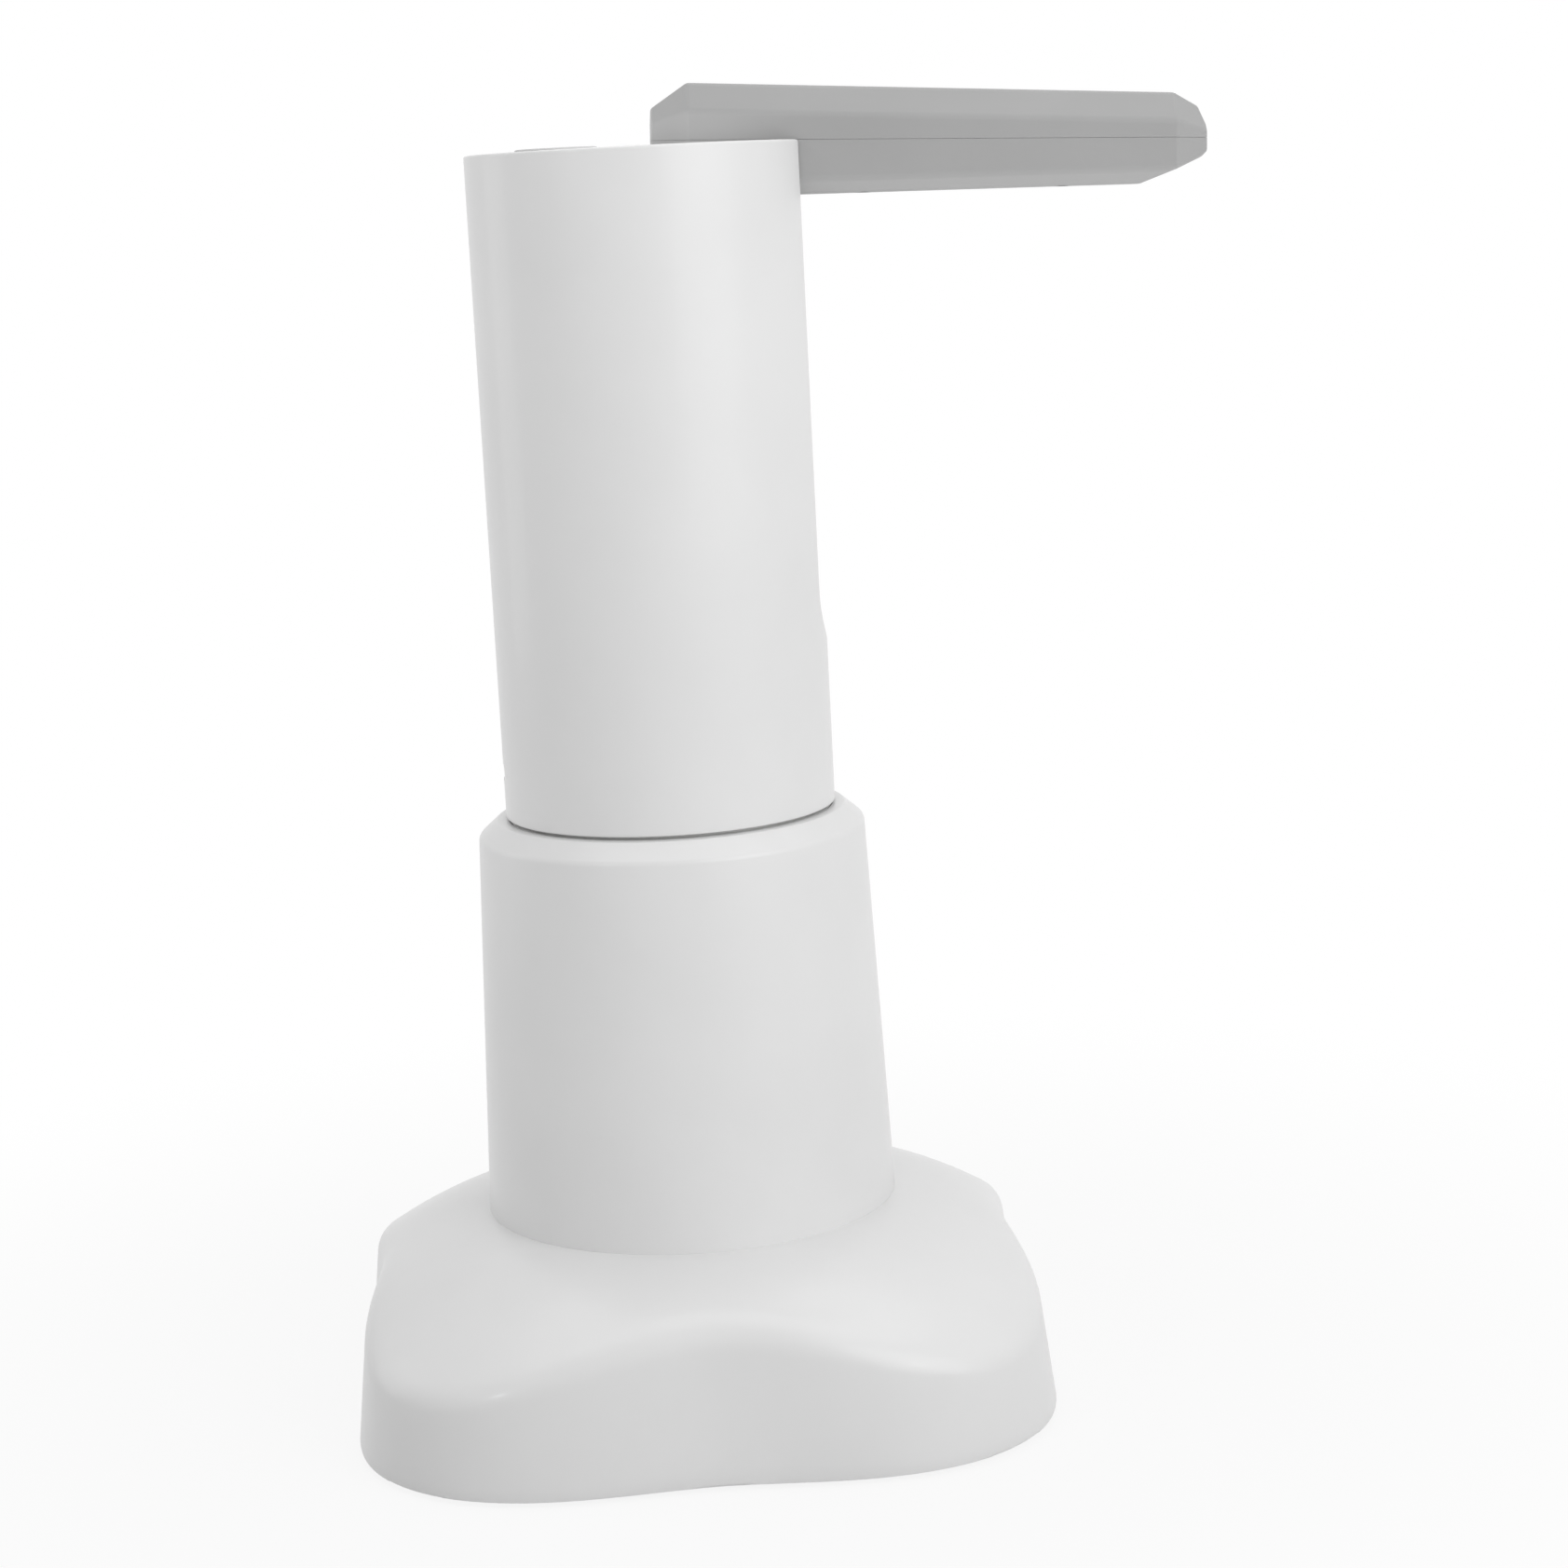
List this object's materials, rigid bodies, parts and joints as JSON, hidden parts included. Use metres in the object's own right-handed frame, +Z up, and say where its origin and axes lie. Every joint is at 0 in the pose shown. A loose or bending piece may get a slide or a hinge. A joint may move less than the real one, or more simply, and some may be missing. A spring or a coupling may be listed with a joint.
{
  "type": "water jug pump with stand",
  "caption": "Electric water jug pump: a round white pump head with a folding grey spout that turns and lifts off a flared sleeve on a soft square table stand.",
  "frame": {"origin": "on the table under the pump head's axis, in the plane of the foot ring's underside", "axes": "+Z up along the pump head's axis, +X towards the tip of the open spout, +Y to the left of the spout"},
  "size_m": [0.2058, 0.1572, 0.2959],
  "materials": {
    "shell_white": "white moulded plastic with a satin surface",
    "spout_grey": "mid grey moulded plastic with a satin surface",
    "cradle_grey": "grey moulded plastic",
    "button_grey": "light grey moulded plastic",
    "nozzle_grey": "dark grey moulded plastic",
    "inner_plastic": "grey moulded plastic, unseen",
    "fitting_plastic": "black moulded plastic",
    "glide_white": "white slippery plastic",
    "foot_rubber": "soft black rubber",
    "seal_rubber": "black rubber",
    "hose_silicone": "milky silicone hose",
    "screw_steel": "plain steel",
    "pin_steel": "ground steel",
    "motor_steel": "rolled steel can",
    "port_steel": "stamped steel",
    "gear_brass": "cut brass",
    "cell_wrap": "shrink wrap over a steel cell",
    "board_green": "green circuit board"
  },
  "bodies": {
    "stand": {"base_shell": "shell_white", "base_plate": "shell_white", "base_screws": "screw_steel", "foot_ring": "foot_rubber", "sleeve": "shell_white", "sleeve_screws": "screw_steel", "dock_plate": "shell_white", "dock_screws": "screw_steel", "dock_fitting": "fitting_plastic", "dock_seal": "seal_rubber", "water_inlet": "fitting_plastic", "inlet_nut": "fitting_plastic", "riser_hose": "hose_silicone"},
    "turntable": {"glide_ring": "glide_white"},
    "head": {"head_shell": "shell_white", "top_cover": "shell_white", "head_bottom": "shell_white", "bottom_screws": "screw_steel", "inlet_nipple": "fitting_plastic", "chassis": "inner_plastic", "motor_can": "motor_steel", "motor_end_cap": "fitting_plastic", "motor_screws": "screw_steel", "pump_body": "fitting_plastic", "pump_cover": "fitting_plastic", "pump_screws": "screw_steel", "idler_shaft": "pin_steel", "inlet_hose": "hose_silicone", "outlet_hose": "hose_silicone", "hose_gland": "fitting_plastic", "hinge_hose": "hose_silicone", "spout_cradle": "cradle_grey", "hinge_pins": "pin_steel", "battery_cell": "cell_wrap", "battery_holder": "fitting_plastic", "control_board": "board_green", "usb_port": "port_steel", "switch_board": "board_green", "tact_switch": "fitting_plastic"},
    "spout": {"spout_upper_shell": "spout_grey", "spout_lower_shell": "spout_grey", "spout_elbow": "fitting_plastic", "spout_tube": "hose_silicone", "spout_nozzle": "nozzle_grey", "spout_screws": "screw_steel"},
    "button": {"power_button": "button_grey"},
    "drive": {"motor_shaft": "pin_steel", "drive_gear": "gear_brass"},
    "idler": {"idler_gear": "gear_brass"}
  },
  "joints": [
    {"name": "head_turn", "type": "hinge", "parent": "stand", "child": "turntable", "pos_m": [0, 0, 0.134], "axis": [0, 0, 1], "continuous": true},
    {"name": "head_lift", "type": "slide", "parent": "turntable", "child": "head", "axis": [0, 0, 1], "range_m": [0, 0.03]},
    {"name": "spout_fold", "type": "hinge", "parent": "head", "child": "spout", "pos_m": [0.02203, 0, 0.2791], "axis": [0, 1, 0], "range_deg": [0, 86], "deforming": ["hinge_hose"]},
    {"name": "button_press", "type": "slide", "parent": "head", "child": "button", "axis": [0, 0, -1], "range_m": [0, 0.0006], "stiffness_N_per_m": 600},
    {"name": "pump_spin", "type": "hinge", "parent": "head", "child": "drive", "pos_m": [-0.005, -0.006, 0.155], "axis": [0, 0, 1], "continuous": true},
    {"name": "idler_spin", "type": "hinge", "parent": "head", "child": "idler", "pos_m": [-0.005, 0.006, 0.155], "axis": [0, 0, 1], "continuous": true}
  ],
  "couplings": [
    {"joint": "idler_spin", "follows": "pump_spin", "ratio": -1}
  ]
}
